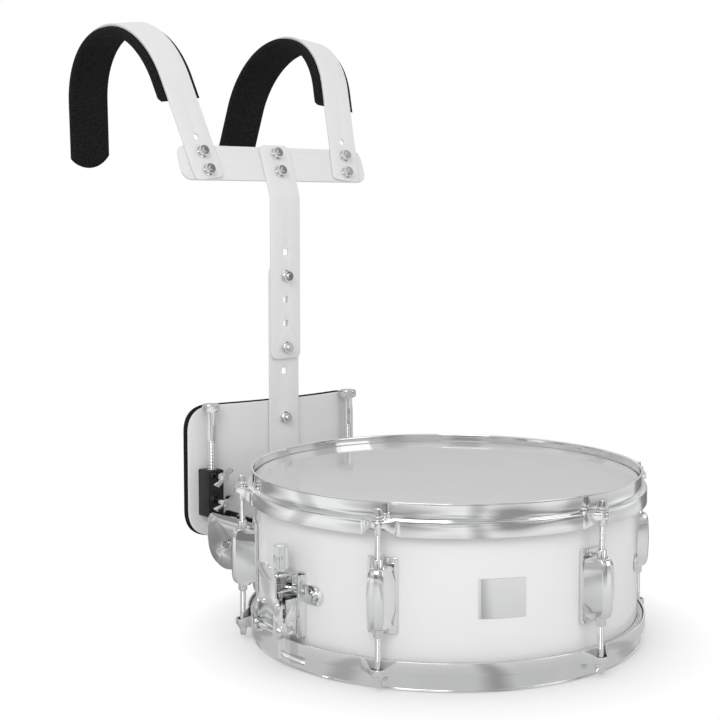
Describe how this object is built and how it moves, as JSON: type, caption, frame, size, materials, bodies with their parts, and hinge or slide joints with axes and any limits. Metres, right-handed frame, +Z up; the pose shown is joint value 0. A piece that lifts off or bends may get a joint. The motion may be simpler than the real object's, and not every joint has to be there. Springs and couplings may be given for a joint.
{
  "type": "marching snare drum with carrier",
  "caption": "White marching snare drum with chrome hoops, lugs, strainer and snares, hung by hook rods from a padded shoulder carrier with a belly plate.",
  "frame": {"origin": "middle of the batter head's playing face", "axes": "+Z up out of the batter head; +Y towards the player and the carrier; +X to the right of someone who looks along +Y, so the strainer is on the -X side and the butt plate on the +X side"},
  "size_m": [0.405, 0.6915, 0.5935],
  "materials": {
    "white_wrap": "gloss white wrap over the wooden shell",
    "milky_film": "smooth translucent white film",
    "chrome": "polished chrome plating on steel",
    "steel_wire": "bright steel wire",
    "nylon_tape": "smooth pale nylon tape",
    "white_paint": "satin white paint on steel",
    "black_foam": "black closed-cell foam with fine pores",
    "black_plastic": "matt black plastic"
  },
  "bodies": {
    "drum": {"shell": "white_wrap", "batter_head": "milky_film", "snare_side_head": "milky_film", "batter_hoop": "chrome", "snare_side_hoop": "chrome", "lug_1": "chrome", "lug_2": "chrome", "lug_3": "chrome", "lug_4": "chrome", "lug_5": "chrome", "lug_6": "chrome", "strainer_bracket": "chrome", "strainer_spring": "steel_wire", "butt_plate": "chrome", "butt_strap": "nylon_tape", "snare_wires": "steel_wire", "hanger_left": "chrome", "hanger_right": "chrome"},
    "adjusting_knob": {"strainer_knob": "chrome"},
    "slide_plate": {"strainer_slide": "chrome", "strainer_strap": "nylon_tape"},
    "lever": {"throw_off_lever": "chrome"},
    "clamp": {"strap_clamp": "chrome"},
    "hook_rods": {"hook_rod_left": "chrome", "hook_rod_right": "chrome"},
    "carrier": {"clamp_block_left": "black_plastic", "clamp_block_right": "black_plastic", "belly_plate": "white_paint", "belly_pad": "black_foam", "upper_centre_bar": "white_paint", "lower_centre_bar": "white_paint", "cross_bar": "white_paint", "shoulder_bar_left": "white_paint", "shoulder_bar_right": "white_paint", "shoulder_pad_left": "black_foam", "shoulder_pad_right": "black_foam", "shoulder_bolt_left_1": "chrome", "shoulder_bolt_left_2": "chrome", "shoulder_bolt_right_1": "chrome", "shoulder_bolt_right_2": "chrome", "cross_bolt_1": "chrome", "cross_bolt_2": "chrome", "setting_bolt_1": "chrome", "setting_bolt_2": "chrome"},
    "tension_rod_top_1_body": {"tension_rod_top_1": "chrome"},
    "tension_rod_bottom_1_body": {"tension_rod_bottom_1": "chrome"},
    "tension_rod_top_2_body": {"tension_rod_top_2": "chrome"},
    "tension_rod_bottom_2_body": {"tension_rod_bottom_2": "chrome"},
    "tension_rod_top_3_body": {"tension_rod_top_3": "chrome"},
    "tension_rod_bottom_3_body": {"tension_rod_bottom_3": "chrome"},
    "tension_rod_top_4_body": {"tension_rod_top_4": "chrome"},
    "tension_rod_bottom_4_body": {"tension_rod_bottom_4": "chrome"},
    "tension_rod_top_5_body": {"tension_rod_top_5": "chrome"},
    "tension_rod_bottom_5_body": {"tension_rod_bottom_5": "chrome"},
    "tension_rod_top_6_body": {"tension_rod_top_6": "chrome"},
    "tension_rod_bottom_6_body": {"tension_rod_bottom_6": "chrome"},
    "wing_screw_low_left_body": {"wing_screw_low_left": "chrome"},
    "wing_screw_high_left_body": {"wing_screw_high_left": "chrome"},
    "wing_screw_low_right_body": {"wing_screw_low_right": "chrome"},
    "wing_screw_high_right_body": {"wing_screw_high_right": "chrome"}
  },
  "joints": [
    {"name": "hanger_tilt", "type": "hinge", "parent": "drum", "child": "hook_rods", "pos_m": [0, 0.2277, -0.10715], "axis": [1, 0, 0], "range_deg": [-15, 0]},
    {"name": "carrier_height", "type": "slide", "parent": "hook_rods", "child": "carrier", "axis": [0, 0, 1], "range_m": [0, 0.05]},
    {"name": "knob_turn", "type": "hinge", "parent": "drum", "child": "adjusting_knob", "pos_m": [-0.192, 0, -0.05], "axis": [0, 0, 1], "range_deg": [-720, 720]},
    {"name": "strainer_travel", "type": "slide", "parent": "drum", "child": "slide_plate", "axis": [0, 0, 1], "range_m": [-0.0016, 0.0016], "deforming": ["strainer_spring"]},
    {"name": "throw_off", "type": "hinge", "parent": "slide_plate", "child": "lever", "pos_m": [-0.2053, 0, -0.109], "axis": [0, -1, 0], "range_deg": [0, 90]},
    {"name": "clamp_drop", "type": "slide", "parent": "slide_plate", "child": "clamp", "axis": [0, 0, 1], "range_m": [-0.004, 0], "deforming": ["strainer_strap"]},
    {"name": "tension_rod_top_1_turn", "type": "hinge", "parent": "drum", "child": "tension_rod_top_1_body", "pos_m": [0, -0.1905, 0.002], "axis": [0, 0, 1], "continuous": true},
    {"name": "tension_rod_bottom_1_turn", "type": "hinge", "parent": "drum", "child": "tension_rod_bottom_1_body", "pos_m": [0, -0.1905, -0.1435], "axis": [0, 0, 1], "continuous": true},
    {"name": "tension_rod_top_2_turn", "type": "hinge", "parent": "drum", "child": "tension_rod_top_2_body", "pos_m": [0.16498, -0.09525, 0.002], "axis": [0, 0, 1], "continuous": true},
    {"name": "tension_rod_bottom_2_turn", "type": "hinge", "parent": "drum", "child": "tension_rod_bottom_2_body", "pos_m": [0.16498, -0.09525, -0.1435], "axis": [0, 0, 1], "continuous": true},
    {"name": "tension_rod_top_3_turn", "type": "hinge", "parent": "drum", "child": "tension_rod_top_3_body", "pos_m": [0.16498, 0.09525, 0.002], "axis": [0, 0, 1], "continuous": true},
    {"name": "tension_rod_bottom_3_turn", "type": "hinge", "parent": "drum", "child": "tension_rod_bottom_3_body", "pos_m": [0.16498, 0.09525, -0.1435], "axis": [0, 0, 1], "continuous": true},
    {"name": "tension_rod_top_4_turn", "type": "hinge", "parent": "drum", "child": "tension_rod_top_4_body", "pos_m": [0, 0.1905, 0.002], "axis": [0, 0, 1], "continuous": true},
    {"name": "tension_rod_bottom_4_turn", "type": "hinge", "parent": "drum", "child": "tension_rod_bottom_4_body", "pos_m": [0, 0.1905, -0.1435], "axis": [0, 0, 1], "continuous": true},
    {"name": "tension_rod_top_5_turn", "type": "hinge", "parent": "drum", "child": "tension_rod_top_5_body", "pos_m": [-0.16498, 0.09525, 0.002], "axis": [0, 0, 1], "continuous": true},
    {"name": "tension_rod_bottom_5_turn", "type": "hinge", "parent": "drum", "child": "tension_rod_bottom_5_body", "pos_m": [-0.16498, 0.09525, -0.1435], "axis": [0, 0, 1], "continuous": true},
    {"name": "tension_rod_top_6_turn", "type": "hinge", "parent": "drum", "child": "tension_rod_top_6_body", "pos_m": [-0.16498, -0.09525, 0.002], "axis": [0, 0, 1], "continuous": true},
    {"name": "tension_rod_bottom_6_turn", "type": "hinge", "parent": "drum", "child": "tension_rod_bottom_6_body", "pos_m": [-0.16498, -0.09525, -0.1435], "axis": [0, 0, 1], "continuous": true},
    {"name": "wing_screw_low_left_turn", "type": "hinge", "parent": "carrier", "child": "wing_screw_low_left_body", "pos_m": [-0.091, 0.233, -0.0535], "axis": [0, 1, 0], "continuous": true},
    {"name": "wing_screw_high_left_turn", "type": "hinge", "parent": "carrier", "child": "wing_screw_high_left_body", "pos_m": [-0.091, 0.233, -0.028], "axis": [0, 1, 0], "continuous": true},
    {"name": "wing_screw_low_right_turn", "type": "hinge", "parent": "carrier", "child": "wing_screw_low_right_body", "pos_m": [0.091, 0.233, -0.0535], "axis": [0, 1, 0], "continuous": true},
    {"name": "wing_screw_high_right_turn", "type": "hinge", "parent": "carrier", "child": "wing_screw_high_right_body", "pos_m": [0.091, 0.233, -0.028], "axis": [0, 1, 0], "continuous": true}
  ],
  "couplings": [
    {"joint": "knob_turn", "follows": "strainer_travel", "rad_per_m": -7854},
    {"joint": "clamp_drop", "follows": "throw_off", "m_per_rad": -0.0025464}
  ]
}
